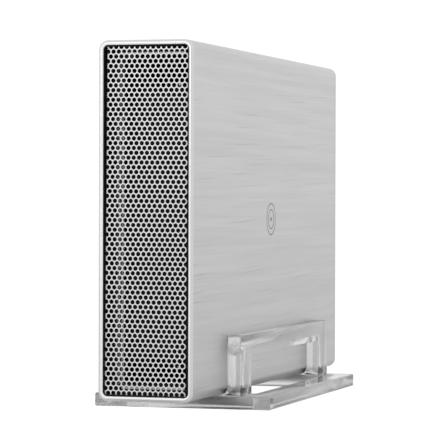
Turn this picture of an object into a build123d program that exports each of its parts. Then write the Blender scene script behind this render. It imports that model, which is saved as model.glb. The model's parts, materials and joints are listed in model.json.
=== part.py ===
from build123d import *
import os
from math import cos, radians, sin, sqrt

os.makedirs("parts", exist_ok=True)

# A one-drive network storage box, standing in a clear acrylic stand.
# Millimetres. +Z is up and the front faces -Y. The origin is the middle of the footprint, on the
# surface that the stand rests on.

# ---- Enclosure ----
body_width = 35.8
body_height = 130.0
body_depth = 208.0
wall = 1.7
corner_radius = 3.5
rim_bevel = 0.95
rim_flat = 0.2
runner_width = 1.5
runner_spacing = 18.0

# ---- Grille and the black frame round it ----
grille_recess = 1.5
grille_sheet = 0.6
grille_flange = 6.5
frame_wall = 0.25
frame_setback = 0.1
frame_lip = 1.9
lip_thickness = 1.0
hole_pitch = 2.0
hole_diameter = 1.46
hole_margin = 0.5

# ---- Stand ----
base_width = 69.0
base_length = 130.0
base_thickness = 5.0
side_rail = 10.0
stand_setback = 43.5
bracket_thickness = 5.0
bracket_height = 22.5
bracket_bar = 8.0
leg_length = 15.0
toe_angle = 70.0
acrylic_bevel = 0.35
pad_diameter = 8.0
pad_thickness = 0.5
pad_spacing = 16.0

# ---- Tray ----
tray_sheet = 1.0
tray_lift = 1.9
tongue_length = 10.0
tongue_width = 24.0
tab_width = 8.0
tab_height = 7.0

# ---- Rear panel and its fasteners ----
panel_thickness = 2.0
thumb_x = 11.5
thumb_inset = 8.6
thumb_shank = 2.9
thumb_head = 7.0
thumb_head_length = 3.2
thumb_thread_length = 8.0
knurl_count = 18
boss_depth = 12.0
boss_height = 5.4
screw_diameter = 2.5
screw_head = 4.6
screw_head_height = 1.2

# ---- Fan ----
fan_size = 30.0
fan_depth = 10.0
fan_bore = 28.2
fan_x = 0.5
fan_height = 103.0
fan_hub = 13.0
fan_shaft = 2.0
fan_blades = 7
blade_tip_gap = 0.6
blade_thickness = 0.9
blade_pitch = 38.0
fan_screw_spacing = 24.0
vent_hole = 3.2
vent_pitch = 4.3

# ---- Main board and sockets ----
board_thickness = 1.6
board_x = -8.0
board_low = 10.0
board_below_fan = 2.0
network_height = 57.5
network_size = (13.5, 20.0, 16.0)
usb_height = 76.1
usb_size = (7.0, 14.0, 14.4)
power_height = 18.5
power_size = (9.5, 12.0, 9.5)
power_bore = 6.4
power_pin = 2.0
switch_x = 0.5
switch_height = 34.0
switch_cutout = (9.0, 14.0)
switch_bezel = (11.0, 16.0)
switch_bezel_thickness = 1.2
switch_depth = 11.0
rocker_angle = 10.0
rocker_pin = 2.0
reset_height = 46.0
reset_diameter = 2.8
reset_proud = 0.8
processor_size = 13.0
heatsink_height = 7.0
heatsink_fins = 6
chip_size = (1.1, 8.0, 11.0)
capacitor_diameter = 6.0
capacitor_height = 8.0

# ---- Status lights ----
light_x = -11.7
light_top = 120.5
light_pitch = 3.464
light_count = 5
light_board_front = 6.6
light_board_thickness = 1.0
light_board_width = 3.8
light_radius = 0.65
light_body = 0.7
light_body_width = 1.8
pillar_radius = 1.2

# ---- Drive ----
drive_thickness = 26.1
drive_length = 147.0
drive_height = 101.6
drive_x = -0.3
drive_start = 16.0
drive_low = 12.2
drive_board_thickness = 1.0
drive_chip_height = 0.7
drive_chips = ((60, 50, 14, 14), (85, 30, 10, 8), (110, 62, 9, 12), (78, 72, 7, 7))
drive_cover_thickness = 1.0
cover_relief = 0.4
cover_groove = 1.5
cover_dimple = 18.0
cover_screw_inset = 4.0
cover_screw_head = 4.6
cover_screw_height = 0.8
platter_rim_wall = 3.3
platter_front_wall = 4.5
platter_thickness = 1.27
platter_pitch = 4.0
platter_count = 3
platter_pocket_gap = 1.5
drive_floor = 7.4
hub_diameter = 25.0
hub_floor_gap = 4.0
spindle_diameter = 4.0
platter_ring = 3.0
bay_wall = 7.0
bay_rear_wall = 11.0
bay_from_platter = 30.0
pivot_below_bay = 23.8
pivot_gap = 1.2
pivot_diameter = 5.0
pivot_block = 14.0
arm_reach = 46.0
arm_width = 5.0
arm_thickness = 1.0
arm_parked = 257.0
coil_reach = 18.0
drive_rail_width = 18.5
drive_rail_x = -0.9
rail_setback = 12.0
drive_screw_head = 4.8
drive_screw_height = 1.5
cable_width = 2.4
cable_thickness = 0.3
cable_from_web = 0.4
cable_past_drive = 17.0
cable_corner = 4.0
cable_tail = 10.0

# ---- Clearances ----
slide_gap = 0.3
seam_gap = 0.1
rest_gap = 0.1
fit_gap = 0.08
seat_gap = 0.1
frame_gap = 0.05
grille_side_gap = 0.4
stand_gap = 0.15

# ---- Places worked out from the sizes ----
overall_depth = body_depth + seam_gap + thumb_head_length
inner_rim_bevel = wall - rim_bevel - rim_flat
front = -overall_depth / 2
rear = front + body_depth
stand_front = front + stand_setback
stand_back = stand_front + base_length
window_front = stand_front + leg_length
window_back = stand_back - leg_length
floor = base_thickness + pad_thickness + rest_gap
mid_z = floor + body_height / 2
inner_half = body_width / 2 - wall
inner_low = floor + wall
inner_high = floor + body_height - wall
panel_face = rear - panel_thickness
sleeve_end = panel_face - seam_gap
frame_half = inner_half - frame_gap
frame_high = inner_high - frame_gap
frame_low = inner_low + frame_gap
frame_front = front + inner_rim_bevel + frame_setback
grille_half = frame_half - frame_wall - grille_side_gap
grille_high = frame_high - frame_wall - frame_gap
grille_low = frame_low + frame_wall + frame_gap
grille_front = front + grille_recess
grille_back = grille_front + grille_flange
tray_half = inner_half - slide_gap
tray_low = inner_low + tray_lift
tray_high = inner_high - tray_lift
web_face = -tray_half + tray_sheet
lip_back = grille_back + frame_gap + lip_thickness
tray_front = lip_back + slide_gap
drive_x0 = drive_x - drive_thickness / 2
drive_x1 = drive_x + drive_thickness / 2
drive_front = front + drive_start
drive_rear = drive_front + drive_length
drive_z0 = floor + drive_low
drive_z1 = drive_z0 + drive_height
board_face = board_x + board_thickness
fan_front = panel_face - fan_depth
fan_z = floor + fan_height
board_high = fan_height - fan_size / 2 - board_below_fan
platter_diameter = drive_height - 2 * platter_rim_wall
platter_y = drive_front + platter_front_wall + platter_diameter / 2
platter_z = drive_z0 + drive_height / 2
pivot_z = drive_z1 - bay_wall - pivot_below_bay
pivot_reach = platter_diameter / 2 + pivot_gap + pivot_block / 2
pivot_y = platter_y + sqrt(pivot_reach**2 - (pivot_z - platter_z) ** 2)
thumb_heights = (floor + thumb_inset, floor + body_height - thumb_inset)
tab_x = -tab_width


# ---- Helpers ----
def block(x, y, z):
    """A box from three (low, high) pairs."""
    size = [high - low for low, high in (x, y, z)]
    middle = [(high + low) / 2 for low, high in (x, y, z)]
    return Pos(*middle) * Box(*size)


def along_x(sketch, x0, x1):
    """Extrude a sketch drawn in Y and Z from x0 to x1."""
    return extrude(Plane.YZ.offset(x0) * sketch, amount=x1 - x0)


def along_y(sketch, y0, y1):
    """Extrude a sketch drawn in X and Z from y0 back to y1."""
    return extrude(Plane.XZ.offset(-y0) * sketch, amount=y0 - y1)


def disc_x(y, z, radius, x0, x1):
    """A round bar along X."""
    return along_x(Pos(y, z) * Circle(radius), x0, x1)


def disc_y(x, z, radius, y0, y1):
    """A round bar along Y."""
    return along_y(Pos(x, z) * Circle(radius), y0, y1)


def outline(points):
    """A flat face with straight sides."""
    return make_face(Polyline(*points, close=True))


def mirrored_x(shape):
    """The same shape on the other side of X = 0."""
    return mirror(shape, Plane.YZ)


# ---- Stand ----
def stand_base_plate():
    """A flat acrylic plate with one window between its cross pieces."""
    half_width = base_width / 2
    plate = block((-half_width, half_width), (stand_front, stand_back), (0, base_thickness))
    window_x = half_width - side_rail
    plate -= block((-window_x, window_x), (window_front, window_back), (-1, base_thickness + 1))
    edges = plate.edges().filter_by(Axis.X) + plate.edges().filter_by(Axis.Y)
    return chamfer(edges, acrylic_bevel)


def stand_bracket():
    """The right bracket: two legs with toes that follow the sleeve's corner, and a top bar."""
    inner = body_width / 2 + stand_gap
    outer = inner + bracket_thickness
    top = base_thickness + bracket_height
    bend_x = body_width / 2 - corner_radius
    bend_z = floor + corner_radius
    bend = corner_radius + stand_gap
    toe_x = bend_x + bend * cos(radians(toe_angle))
    toe_z = bend_z - bend * sin(radians(toe_angle))
    profile = Line((outer, base_thickness), (outer, top))
    profile += Line((outer, top), (inner, top))
    profile += Line((inner, top), (inner, bend_z))
    profile += CenterArc((bend_x, bend_z), bend, 0, -toe_angle)
    profile += Line((toe_x, toe_z), (toe_x, base_thickness))
    profile += Line((toe_x, base_thickness), (outer, base_thickness))
    bracket = along_y(make_face(profile), stand_front, stand_back)
    bracket -= block((0, outer + 1), (window_front, window_back), (0, top - bracket_bar))
    top_edges = bracket.edges().group_by(Axis.Z)[-1]
    return chamfer(top_edges, acrylic_bevel)


def stand_pads():
    """Four thin clear pads on the cross pieces, under the enclosure."""
    pads = Part()
    for x in (-pad_spacing / 2, pad_spacing / 2):
        for y in ((stand_front + window_front) / 2, (window_back + stand_back) / 2):
            pads += Pos(x, y, base_thickness + pad_thickness / 2) * Cylinder(
                pad_diameter / 2, pad_thickness
            )
    return pads


# ---- Enclosure ----
def outer_sleeve():
    """An extruded tube with a bevelled front rim, runners for the tray and two screw bosses."""
    skin = RectangleRounded(body_width, body_height, corner_radius)
    skin -= RectangleRounded(body_width - 2 * wall, body_height - 2 * wall, corner_radius - wall)
    sleeve = along_y(Pos(0, mid_z) * skin, front, sleeve_end)
    rim = sleeve.faces().sort_by(Axis.Y)[0]
    sleeve = sleeve.chamfer(rim_bevel, None, rim.outer_wire().edges())
    rim = sleeve.faces().sort_by(Axis.Y)[0]
    sleeve = sleeve.chamfer(inner_rim_bevel, None, rim.inner_wires()[0].edges())
    runner_height = tray_lift - rest_gap
    overlap = 0.2
    for x in (-runner_spacing / 2, runner_spacing / 2):
        across = (x - runner_width / 2, x + runner_width / 2)
        depth = (tray_front + tongue_length, sleeve_end - 1)
        sleeve += block(across, depth, (inner_low - overlap, inner_low + runner_height))
        sleeve += block(across, depth, (inner_high - runner_height, inner_high + overlap))
    boss_half = inner_half - thumb_x
    for z in thumb_heights:
        sleeve += block(
            (thumb_x - boss_half / 2, inner_half + overlap),
            (sleeve_end - boss_depth, sleeve_end),
            (z - boss_height / 2, z + boss_height / 2),
        )
        sleeve -= disc_y(thumb_x, z, thumb_shank / 2 + fit_gap, sleeve_end - boss_depth + 1, rear)
    return sleeve


def grille_carrier():
    """A thin black lining from the rim back, with a lip behind the grille's flanges."""
    width = 2 * frame_half
    height = frame_high - frame_low
    radius = corner_radius - wall - frame_gap
    skin = RectangleRounded(width, height, radius)
    opening = RectangleRounded(width - 2 * frame_wall, height - 2 * frame_wall, radius - frame_wall)
    lip_opening = RectangleRounded(
        width - 2 * frame_wall - 2 * frame_lip, height - 2 * frame_wall - 2 * frame_lip, 1
    )
    carrier = along_y(Pos(0, mid_z) * (skin - opening), frame_front, lip_back)
    lip = Pos(0, mid_z) * (skin - lip_opening)
    return carrier + along_y(lip, lip_back - lip_thickness, lip_back)


def grille_holes():
    """Centres of the holes that fit, in X and Z: rows shifted by half a pitch in turn."""
    row_pitch = hole_pitch * sqrt(3) / 2
    keep_in = hole_margin + hole_diameter / 2
    half_columns = int((grille_half - keep_in) / hole_pitch)
    half_rows = int(((grille_high - grille_low) / 2 - keep_in) / row_pitch)
    centres = []
    for row in range(-half_rows, half_rows + 1):
        count = 2 * half_columns + 1 - abs(row) % 2
        for column in range(count):
            x = (column - (count - 1) / 2) * hole_pitch
            centres.append((x, mid_z + row * row_pitch))
    return centres


def grille_outline(inset=0.0):
    """The grille's rounded rectangle, smaller by inset all round."""
    radius = corner_radius - wall - frame_wall - 2 * frame_gap
    height = grille_high - grille_low
    shape = RectangleRounded(2 * (grille_half - inset), height - 2 * inset, radius - inset)
    return Pos(0, mid_z) * shape


def front_grille():
    """The perforated face of the grille."""
    y = grille_front
    sheet = Plane.XZ.offset(-y) * grille_outline()
    holes = []
    for x, z in grille_holes():
        spot = Plane(origin=(x, y, z), x_dir=(1, 0, 0), z_dir=(0, -1, 0))
        holes.append(Wire.make_circle(hole_diameter / 2, spot))
    face = Face(sheet.face().outer_wire(), holes)
    return Solid.extrude(face, Vector(0, grille_sheet, 0))


def grille_flanges():
    """The grille's four sides, folded back behind its face."""
    skin = grille_outline() - grille_outline(grille_sheet)
    return along_y(skin, grille_front + grille_sheet, grille_back)


# ---- Tray ----
def chassis_tray():
    """Two sheet plates joined by a side web, with tabs for the rear panel and the light board."""
    tray = Part()
    half_tongue = tongue_width / 2
    wide_from = tray_front + tongue_length
    for low, high in ((tray_low, tray_low + tray_sheet), (tray_high - tray_sheet, tray_high)):
        tray += block((-half_tongue, half_tongue), (tray_front, wide_from), (low, high))
        tray += block((-tray_half, tray_half), (wide_from, panel_face), (low, high))
    web = (-tray_half, web_face)
    web_from = wide_from + tray_sheet
    tray += block(web, (web_from, fan_front - 1), (tray_low, tray_high))
    fan_low = fan_z - fan_size / 2
    tray += block(web, (web_from, panel_face), (tray_low, fan_low - 1))
    tab_depth = (panel_face - tray_sheet, panel_face)
    across = (tab_x - tab_width / 2, tab_x + tab_width / 2)
    low_tab = block(across, tab_depth, (tray_low, tray_low + tab_height))
    high_tab = block(across, tab_depth, (tray_high - tab_height, tray_high))
    for tab, z in ((low_tab, thumb_heights[0]), (high_tab, thumb_heights[1])):
        tray += tab - disc_y(tab_x, z, screw_diameter / 2 + fit_gap, panel_face - 5, rear)
    light_tab_low = floor + light_top - light_pitch * light_count
    half_tab = light_board_width / 2
    tray += block(
        (light_x - half_tab, light_x + half_tab),
        (tray_front, tray_front + tray_sheet),
        (light_tab_low, tray_high),
    )
    return tray


def rear_panel():
    """The plate that closes the back, with an opening for each socket and holes for air."""
    skin = RectangleRounded(body_width, body_height, corner_radius)
    panel = along_y(Pos(0, mid_z) * skin, panel_face, rear)
    panel = chamfer(panel.edges().group_by(Axis.Y)[-1], 0.5)
    through = (panel_face - 1, rear + 1)
    for z in thumb_heights:
        panel -= disc_y(thumb_x, z, thumb_shank / 2 + fit_gap, *through)
        panel -= disc_y(tab_x, z, screw_diameter / 2 + fit_gap, *through)
        panel -= disc_y(tab_x, z, screw_head / 2 + fit_gap, rear - screw_head_height, rear + 1)
    for x, z in fan_screw_places():
        panel -= disc_y(x, z, screw_diameter / 2 + fit_gap, *through)
    for x, z in vent_places():
        panel -= disc_y(x, z, vent_hole / 2, *through)
    for size, z in ((network_size, network_height), (usb_size, usb_height)):
        across = (board_face - fit_gap, board_face + size[0] + fit_gap)
        up = (floor + z - size[2] / 2 - fit_gap, floor + z + size[2] / 2 + fit_gap)
        panel -= block(across, through, up)
    panel -= disc_y(power_x(), floor + power_height, power_size[0] / 2 - 1 + fit_gap, *through)
    half_x = switch_cutout[0] / 2 + fit_gap
    half_z = switch_cutout[1] / 2 + fit_gap
    switch_z = floor + switch_height
    panel -= block(
        (switch_x - half_x, switch_x + half_x), through, (switch_z - half_z, switch_z + half_z)
    )
    panel -= disc_y(reset_x(), floor + reset_height, reset_diameter / 2 + fit_gap, *through)
    return panel


def power_x():
    """The inlet's axis, half its width above the board."""
    return board_face + power_size[0] / 2


def reset_x():
    """The reset button's axis, above its small switch on the board."""
    return board_face + reset_diameter


def fan_screw_places():
    """Centres of the fan's four screws, in X and Z."""
    half = fan_screw_spacing / 2
    return [(fan_x + i * half, fan_z + k * half) for i in (-1, 1) for k in (-1, 1)]


def vent_places():
    """Air holes in a hexagonal pattern inside the fan's bore."""
    places = []
    reach = (fan_bore - vent_hole) / 2
    steps = int(reach / vent_pitch) + 1
    for row in range(-steps, steps + 1):
        for column in range(-steps, steps + 1):
            x = (column + row / 2) * vent_pitch
            z = row * vent_pitch * sqrt(3) / 2
            if x * x + z * z <= reach * reach:
                places.append((fan_x + x, fan_z + z))
    return places


def panel_screws():
    """Two flat-headed screws that hold the panel to the tray."""
    screws = Part()
    for z in thumb_heights:
        screws += disc_y(tab_x, z, screw_diameter / 2, panel_face - 4, rear - 0.5)
        head = disc_y(tab_x, z, screw_head / 2, rear - screw_head_height, rear - seam_gap)
        slot = block((tab_x - 1.6, tab_x + 1.6), (rear - 0.6, rear), (z - 0.3, z + 0.3))
        screws += head - slot
    return screws


def thumbscrew(z):
    """A knurled captive screw that holds the tray in the sleeve."""
    head_start = rear + seam_gap
    head = disc_y(thumb_x, z, thumb_head / 2, head_start, head_start + thumb_head_length)
    groove = 0.35
    for i in range(knurl_count):
        angle = radians(360 * i / knurl_count)
        x = thumb_x + thumb_head / 2 * cos(angle)
        height = z + thumb_head / 2 * sin(angle)
        head -= disc_y(x, height, groove, head_start - 1, head_start + thumb_head_length + 1)
    tip = panel_face - thumb_thread_length
    return head + disc_y(thumb_x, z, thumb_shank / 2, tip, head_start + 1)


# ---- Fan ----
def fan_frame():
    """A square frame with a round bore and a motor post held by three struts."""
    half = fan_size / 2
    across = (fan_x - half, fan_x + half)
    frame = block(across, (fan_front, panel_face), (fan_z - half, fan_z + half))
    frame = fillet(frame.edges().filter_by(Axis.Y), 2)
    frame -= disc_y(fan_x, fan_z, fan_bore / 2, fan_front - 1, panel_face + 1)
    for x, z in fan_screw_places():
        frame -= disc_y(x, z, screw_diameter / 2 + fit_gap, fan_front - 1, panel_face + 1)
    strut_face = panel_face - 1.2
    strut = block(
        (fan_hub / 2 - 1, fan_bore / 2 + 0.5), (strut_face, panel_face), (-0.8, 0.8)
    )
    for angle in (90, 210, 330):
        frame += Pos(fan_x, 0, fan_z) * Rot(0, angle, 0) * strut
    frame += disc_y(fan_x, fan_z, fan_hub / 2, strut_face, panel_face)
    bearing = disc_y(fan_x, fan_z, 2.5, panel_face - 6.5, panel_face)
    bearing -= disc_y(fan_x, fan_z, fan_shaft / 2 + fit_gap, fan_front, panel_face - 1)
    return frame - disc_y(fan_x, fan_z, fan_shaft / 2 + fit_gap, fan_front, panel_face - 1) + bearing


def fan_rotor():
    """A hub cup on a shaft, with twisted blades."""
    hub_back = panel_face - 2
    hub = disc_y(fan_x, fan_z, fan_hub / 2, fan_front + 0.6, hub_back)
    hub -= disc_y(fan_x, fan_z, fan_hub / 2 - 1, fan_front + 1.8, hub_back + 1)
    hub += disc_y(fan_x, fan_z, fan_shaft / 2, fan_front + 1, panel_face - 2)
    tip = fan_bore / 2 - blade_tip_gap
    root = fan_hub / 2 - 0.5
    length = tip - root - 0.3
    depth = fan_depth - 4.6
    chord = depth / cos(radians(blade_pitch))
    for i in range(fan_blades):
        blade = Pos(0, 0, root + length / 2) * Rot(0, 0, blade_pitch) * Box(
            blade_thickness, chord - blade_thickness, length
        )
        placed = Pos(fan_x, fan_front + 0.6 + 3.7, fan_z) * Rot(0, 360 * i / fan_blades, 0)
        hub += placed * blade
    return hub


def fan_screws():
    """Four screws from outside the panel into the fan's corners."""
    screws = Part()
    for x, z in fan_screw_places():
        screws += disc_y(x, z, screw_diameter / 2, fan_front + 2, rear + 1)
        head = disc_y(x, z, screw_head / 2, rear, rear + screw_head_height)
        slot = block((x - 1.5, x + 1.5), (rear + 0.7, rear + 2), (z - 0.3, z + 0.3))
        screws += head - slot
    return screws


# ---- Main board ----
def main_board():
    """The upright board behind the drive."""
    board_front = drive_rear + 8
    return block(
        (board_x, board_face), (board_front, panel_face - 1), (floor + board_low, floor + board_high)
    )


def standoff_places():
    """Centres of the board's four standoffs, in Y and Z."""
    ys = (drive_rear + 10.4, drive_rear + 24)
    zs = (floor + board_low + 3, floor + board_high - 3)
    return [(y, z) for y in ys for z in zs]


def board_standoffs():
    """Four round pillars between the tray's web and the board."""
    pillars = Part()
    for y, z in standoff_places():
        pillars += disc_x(y, z, 2.2, web_face, board_x)
    return pillars


def board_screws():
    """Four round-headed screws on the board, over the standoffs."""
    heads = Part()
    for y, z in standoff_places():
        head = disc_x(y, z, 2.2, board_face, board_face + 1.3)
        slot = block((board_face + 0.7, board_face + 2), (y - 1.4, y + 1.4), (z - 0.3, z + 0.3))
        heads += head - slot
    return heads


def network_socket():
    """A shielded eight-way socket, open to the rear."""
    width, depth, height = network_size
    z = floor + network_height
    across = (board_face, board_face + width)
    back = rear + 0.4
    shell = block(across, (panel_face - depth + 2, back), (z - height / 2, z + height / 2))
    shell -= block(
        (across[0] + 2.2, across[1] - 3.0), (back - 13, back + 1), (z - 5.9, z + 5.9)
    )
    latch = (across[1] - 3.1, across[1] - 1.2)
    return shell - block(latch, (back - 13, back + 1), (z - 3.2, z + 3.2))


def network_contacts():
    """Eight sprung contacts in the socket, as a comb along its lower wall."""
    z = floor + network_height
    x = board_face + 2.2
    contacts = Part()
    for i in range(8):
        at = z + (i - 3.5) * 1.02
        contacts += block((x, x + 0.6), (rear - 11, rear - 3), (at - 0.25, at + 0.25))
    return contacts


def usb_socket():
    """A type A socket: a thin metal shell."""
    width, depth, height = usb_size
    z = floor + usb_height
    back = rear + 0.4
    across = (board_face, board_face + width)
    shell = block(across, (panel_face - depth + 2, back), (z - height / 2, z + height / 2))
    return shell - block(
        (across[0] + 0.9, across[1] - 0.9), (back - 10, back + 1), (z - 6.3, z + 6.3)
    )


def usb_tongue():
    """The plastic tongue in the USB socket."""
    z = floor + usb_height
    high = board_face + usb_size[0] - 1.4
    return block((high - 1.8, high), (rear - 9.6, rear - 1), (z - 5.5, z + 5.5))


def power_inlet():
    """A round low-voltage inlet with a centre pin."""
    width, depth, height = power_size
    z = floor + power_height
    front_of_inlet = panel_face - depth
    housing = block(
        (board_face, board_face + width), (front_of_inlet, panel_face), (z - height / 2, z + height / 2)
    )
    housing += disc_y(power_x(), z, width / 2 - 1, panel_face - 0.5, rear + 0.3)
    return housing - disc_y(power_x(), z, power_bore / 2, panel_face - 7, rear + 1)


def power_pin_contact():
    """The pin in the middle of the inlet."""
    return disc_y(power_x(), floor + power_height, power_pin / 2, panel_face - 7, rear - 0.8)


def switch_housing():
    """The rocker switch's body, with its bezel outside the panel and holes for the pivot."""
    z = floor + switch_height
    half_x, half_z = switch_cutout[0] / 2, switch_cutout[1] / 2
    bezel_x, bezel_z = switch_bezel[0] / 2, switch_bezel[1] / 2
    across = (switch_x - half_x, switch_x + half_x)
    out = rear + switch_bezel_thickness
    housing = block(across, (panel_face - switch_depth, out), (z - half_z, z + half_z))
    housing += block(
        (switch_x - bezel_x, switch_x + bezel_x), (rear, out), (z - bezel_z, z + bezel_z)
    )
    side = 1.1
    housing -= block(
        (across[0] + side, across[1] - side),
        (rear - 7, out + 1),
        (z - half_z + side, z + half_z - side),
    )
    return housing - disc_x(
        rear - 1.5, z, rocker_pin / 2 + fit_gap, across[0] + 0.2, across[1] - 0.2
    )


def power_rocker():
    """The rocker: a shallow V-shaped face on a pivot pin, resting with its lower half out."""
    z = floor + switch_height
    half = switch_cutout[1] / 2 - 1.1 - slide_gap
    half_x = switch_cutout[0] / 2 - 1.1 - slide_gap
    pivot = rear - 1.5
    dish = 1.2
    tilt = half * sin(radians(rocker_angle))
    top = rear + switch_bezel_thickness + dish
    profile = outline(
        [
            (pivot - 1.5, z - 3),
            (pivot - 1.5, z + 3),
            (pivot + 0.5, z + half - 0.5),
            (top - tilt, z + half - 0.6),
            (top - tilt / 2 - 0.6, z),
            (top - tilt, z - half + 0.6),
            (pivot + 0.5, z - half + 0.5),
        ]
    )
    rocker = along_x(profile, switch_x - half_x, switch_x + half_x)
    pin_half = switch_cutout[0] / 2 - 0.4
    rocker += disc_x(pivot, z, rocker_pin / 2, switch_x - pin_half, switch_x + pin_half)
    return rocker.rotate(Axis((0, pivot, z), (1, 0, 0)), -rocker_angle)


def reset_switch():
    """The small switch on the board, behind the reset button."""
    z = floor + reset_height
    x = reset_x()
    return block((board_face, x + 2.8), (panel_face - 9.4, panel_face - 5.4), (z - 1.9, z + 1.9))


def reset_button():
    """A short plunger that passes through the panel, with a flange inside."""
    z = floor + reset_height
    plunger = disc_y(reset_x(), z, reset_diameter / 2, panel_face - 4.2, rear + reset_proud)
    flange = disc_y(reset_x(), z, reset_diameter / 2 + 0.7, panel_face - 1.6, panel_face - 0.3)
    return plunger + flange


def processor():
    """The main chip."""
    low = floor + board_low + 7
    y = drive_rear + 17
    half = processor_size / 2
    return block((board_face, board_face + 1.6), (y - half + 1, y + half), (low, low + processor_size))


def heatsink():
    """A finned block on the main chip."""
    low = floor + board_low + 7
    y0 = drive_rear + 17 - processor_size / 2 + 1
    y1 = y0 + processor_size - 1
    base = board_face + 1.6
    sink = block((base, base + 1.8), (y0, y1), (low, low + processor_size))
    fin = 0.9
    gap = (processor_size - heatsink_fins * fin) / (heatsink_fins - 1)
    for i in range(heatsink_fins):
        z = low + i * (fin + gap)
        sink += block((base + 1.6, base + heatsink_height), (y0, y1), (z, z + fin))
    return sink


def memory_chips():
    """Two memory chips and one flash chip."""
    chips = Part()
    y = drive_rear + 11.5
    for z in (floor + board_low + 24, floor + board_low + 37):
        across = (board_face, board_face + chip_size[0])
        chips += block(across, (y, y + chip_size[1]), (z, z + chip_size[2]))
    z = floor + board_low + 50
    chips += block((board_face, board_face + chip_size[0]), (y, y + 6), (z, z + 8))
    return chips


def support_chips():
    """Small chips on the board's other side: network, drive and power control."""
    chips = Part()
    back = board_x - 1
    for dy, z, size in ((18, 52, 7), (14, 38, 6), (24, 24, 5), (26, 70, 5)):
        y = drive_rear + dy
        low = floor + z
        chips += block((back, board_x), (y, y + size), (low, low + size))
    return chips


def capacitors():
    """Round cans standing on the board."""
    cans = Part()
    y = drive_rear + 16
    for z in (floor + board_high - 7, floor + board_high - 14):
        can = disc_x(y + 1.5, z, capacitor_diameter / 2, board_face + 0.6, board_face + capacitor_height)
        foot = block((board_face, board_face + 0.8), (y - 1.7, y + 4.7), (z - 3.2, z + 3.2))
        cans += can + foot
    return cans


def drive_lead_connector():
    """The plug at the board's front edge that meets the drive's connector."""
    z = floor + (board_low + board_high) / 2
    plug = block((board_x - 2, board_face + 2), (drive_rear + seam_gap, drive_rear + 8), (z - 20, z + 20))
    return plug


# ---- Status lights ----
def light_board():
    """A narrow strip of board behind the grille's upper left corner."""
    y = front + light_board_front
    top = floor + light_top + light_pitch / 2
    bottom = top - light_count * light_pitch
    half = light_board_width / 2
    return block((light_x - half, light_x + half), (y, y + light_board_thickness), (bottom, top))


def light_board_pillars():
    """Two short pillars between the light board and the tray's front tab."""
    pillars = Part()
    start = front + light_board_front + light_board_thickness
    for i in (0.5, light_count - 1.5):
        z = floor + light_top - i * light_pitch
        pillars += disc_y(light_x, z, pillar_radius, start, tray_front)
    return pillars


def status_lights():
    """Five small domed lights in a column, facing the grille."""
    lights = Part()
    y = front + light_board_front
    half = light_body_width / 2
    base = (y - light_body, y)
    for i in range(light_count):
        z = floor + light_top - i * light_pitch
        body = block((light_x - half, light_x + half), base, (z - half, z + half))
        dome = Pos(light_x, y - light_body, z) * Sphere(light_radius)
        lights += body + dome
    return lights


def flat_cable():
    """A flat cable from the light board, along the tray's top plate, down to the main board."""
    top = tray_high - tray_sheet - seat_gap
    x0 = web_face + cable_from_web
    x1 = board_x - seat_gap
    across = (x0, x0 + cable_width)
    end = drive_rear + cable_past_drive
    drop = (end - cable_thickness, end)
    corner = floor + board_high + cable_corner
    cable = block(across, (tray_front + tray_sheet, end), (top - cable_thickness, top))
    cable += block(across, drop, (corner, top))
    cable += block((x0, x1), drop, (corner - cable_width, corner))
    down = (corner - cable_tail, corner)
    cable += block((x1 - cable_thickness, x1), (drop[0], end + cable_width), down)
    return cable


# ---- Drive ----
def drive_rails():
    """Folded rails that carry the drive between the tray's plates."""
    rails = Part()
    x0 = drive_rail_x - drive_rail_width / 2
    x1 = drive_rail_x + drive_rail_width / 2
    inside_low = tray_low + tray_sheet
    inside_high = tray_high - tray_sheet
    depth = (drive_front + rail_setback, drive_rear - rail_setback)
    through = (depth[0] - 1, depth[1] + 1)
    hollow_x = (x0 + tray_sheet, x1 - tray_sheet)
    low_hollow = (inside_low, drive_z0 - tray_sheet)
    high_hollow = (drive_z1 + tray_sheet, inside_high)
    for tall, hollow in (
        ((inside_low, drive_z0), low_hollow),
        ((drive_z1, inside_high), high_hollow),
    ):
        rails += block((x0, x1), depth, tall) - block(hollow_x, through, hollow)
    return rails


def drive_screw_places():
    """Y of the three screws in each long side of the drive."""
    return (drive_front + 28.5, drive_front + 70, drive_front + 130)


def drive_screws():
    """Six screws through the rails into the drive's sides."""
    screws = Part()
    radius = drive_screw_head / 2
    half = drive_screw_height / 2
    for y in drive_screw_places():
        for z in (drive_z0 - tray_sheet - half, drive_z1 + tray_sheet + half):
            screws += Pos(drive_rail_x, y, z) * Cylinder(radius, drive_screw_height)
    return screws


def drive_pocket(x0, x1, inset=0.0):
    """The space inside the drive: a round well for the platters and a bay for the arm."""
    well = disc_x(platter_y, platter_z, platter_diameter / 2 + platter_pocket_gap - inset, x0, x1)
    bay = block(
        (x0, x1),
        (platter_y + bay_from_platter, drive_rear - bay_rear_wall - inset),
        (drive_z0 + bay_wall + inset, drive_z1 - bay_wall - inset),
    )
    return well + bay


def drive_base():
    """The cast base, with the platter well, the motor's seat, a spindle and the arm's pivot."""
    x0 = drive_x0 + drive_board_thickness
    x1 = drive_x1 - drive_cover_thickness
    base = block((x0, x1), (drive_front, drive_rear), (drive_z0, drive_z1))
    base = fillet(base.edges().filter_by(Axis.X), 2.5)
    floor_x = x0 + drive_floor
    base -= drive_pocket(floor_x, x1 + 1)
    base -= disc_x(platter_y, platter_z, hub_diameter / 2 + slide_gap, floor_x - hub_floor_gap, x1)
    base += disc_x(platter_y, platter_z, spindle_diameter / 2, floor_x - hub_floor_gap - 0.5, x1 - 4)
    base += disc_x(pivot_y, pivot_z, pivot_diameter / 2, floor_x - 0.5, x1 - 1)
    return base


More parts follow.
